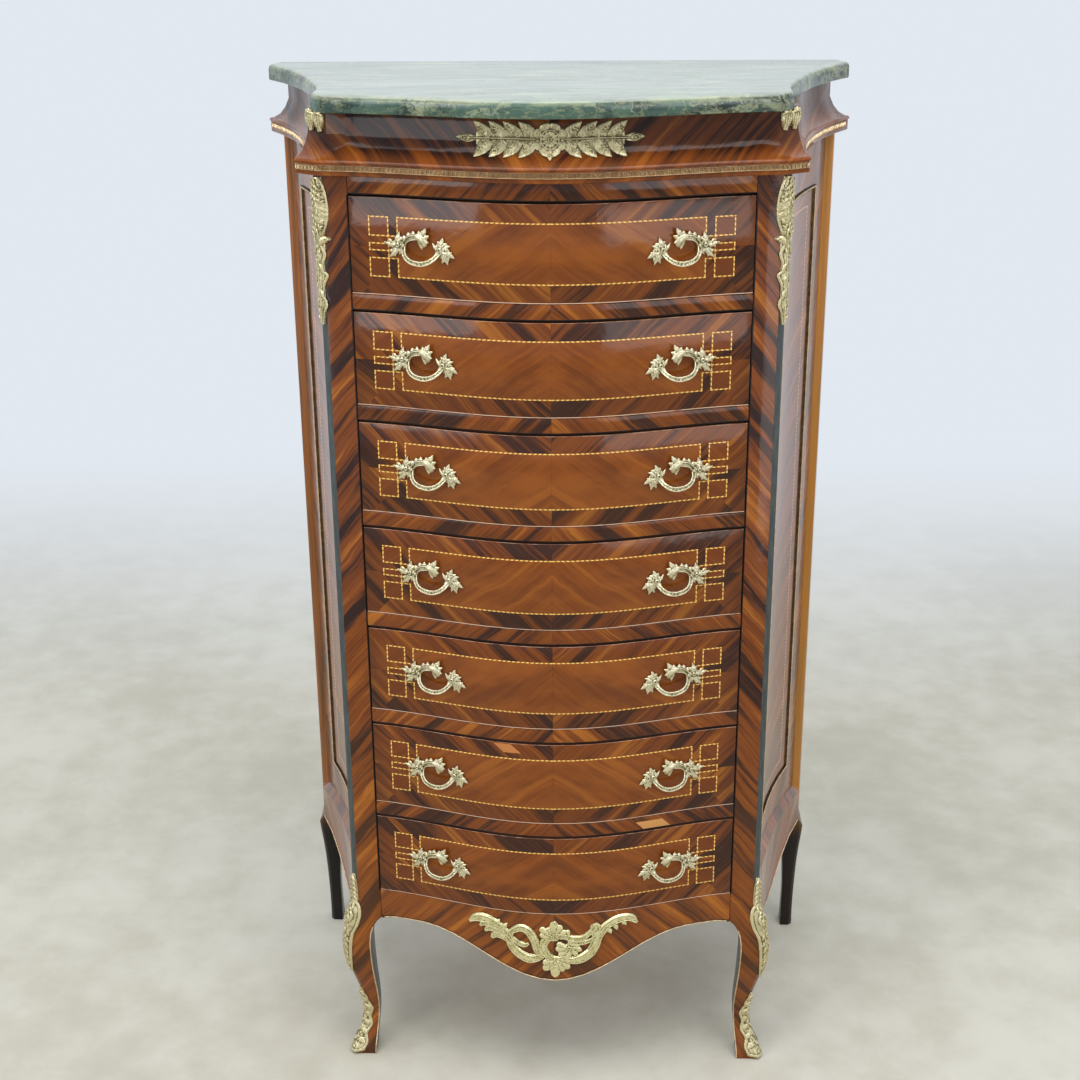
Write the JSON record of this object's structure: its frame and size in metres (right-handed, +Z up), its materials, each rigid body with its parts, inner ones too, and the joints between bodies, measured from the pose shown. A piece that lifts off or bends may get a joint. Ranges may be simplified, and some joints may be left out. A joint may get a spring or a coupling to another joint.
{
  "type": "tall chest of drawers",
  "caption": "Tall bow-fronted chest of drawers with a marble top, veneered serpentine drawer fronts, gilt bronze pulls and mounts, flared sides and short cabriole legs.",
  "frame": {"origin": "centre of the footprint, on the floor", "axes": "+Z up, -Y towards the front with the drawers, +X to the right as seen from the front"},
  "size_m": [0.7632, 0.4256, 1.3],
  "materials": {
    "rosewood": "high-gloss lacquer over figured dark red-brown veneer with dashed light stringing",
    "inside_wood": "plain waxed drawer lining",
    "back_wood": "plain unpolished boards",
    "dark_wood": "dark lacquered hardwood",
    "marble": "polished green marble with cream veins",
    "bronze": "cast gilt bronze, burnished on the high points"
  },
  "bodies": {
    "case": {"marble_top": "marble", "cornice": "rosewood", "cornice_band": "bronze", "case_top": "rosewood", "divider_1": "rosewood", "divider_2": "rosewood", "divider_3": "rosewood", "divider_4": "rosewood", "divider_5": "rosewood", "divider_6": "rosewood", "bottom_frame": "inside_wood", "apron": "rosewood", "back_panel": "back_wood", "right_front_post": "rosewood", "left_front_post": "rosewood", "right_rear_post": "dark_wood", "left_rear_post": "dark_wood", "right_side": "rosewood", "left_side": "rosewood", "right_bead_frame": "bronze", "left_bead_frame": "bronze", "right_chute": "bronze", "left_chute": "bronze", "right_knee_mount": "bronze", "left_knee_mount": "bronze", "right_sabot": "bronze", "left_sabot": "bronze", "right_frieze_corner_mount": "bronze", "left_frieze_corner_mount": "bronze", "frieze_mount": "bronze", "apron_mount": "bronze"},
    "drawer_1": {"drawer_front_1": "rosewood", "drawer_box_1": "inside_wood", "pull_left_1": "bronze", "pull_right_1": "bronze"},
    "drawer_2": {"drawer_front_2": "rosewood", "drawer_box_2": "inside_wood", "pull_left_2": "bronze", "pull_right_2": "bronze"},
    "drawer_3": {"drawer_front_3": "rosewood", "drawer_box_3": "inside_wood", "pull_left_3": "bronze", "pull_right_3": "bronze"},
    "drawer_4": {"drawer_front_4": "rosewood", "drawer_box_4": "inside_wood", "pull_left_4": "bronze", "pull_right_4": "bronze"},
    "drawer_5": {"drawer_front_5": "rosewood", "drawer_box_5": "inside_wood", "pull_left_5": "bronze", "pull_right_5": "bronze"},
    "drawer_6": {"drawer_front_6": "rosewood", "drawer_box_6": "inside_wood", "pull_left_6": "bronze", "pull_right_6": "bronze"},
    "drawer_7": {"drawer_front_7": "rosewood", "drawer_box_7": "inside_wood", "pull_left_7": "bronze", "pull_right_7": "bronze"}
  },
  "joints": [
    {"name": "drawer_1_slide", "type": "slide", "parent": "case", "child": "drawer_1", "axis": [0, -1, 0], "range_m": [0, 0.25]},
    {"name": "drawer_2_slide", "type": "slide", "parent": "case", "child": "drawer_2", "axis": [0, -1, 0], "range_m": [0, 0.25]},
    {"name": "drawer_3_slide", "type": "slide", "parent": "case", "child": "drawer_3", "axis": [0, -1, 0], "range_m": [0, 0.25]},
    {"name": "drawer_4_slide", "type": "slide", "parent": "case", "child": "drawer_4", "axis": [0, -1, 0], "range_m": [0, 0.25]},
    {"name": "drawer_5_slide", "type": "slide", "parent": "case", "child": "drawer_5", "axis": [0, -1, 0], "range_m": [0, 0.25]},
    {"name": "drawer_6_slide", "type": "slide", "parent": "case", "child": "drawer_6", "axis": [0, -1, 0], "range_m": [0, 0.25]},
    {"name": "drawer_7_slide", "type": "slide", "parent": "case", "child": "drawer_7", "axis": [0, -1, 0], "range_m": [0, 0.25]}
  ]
}
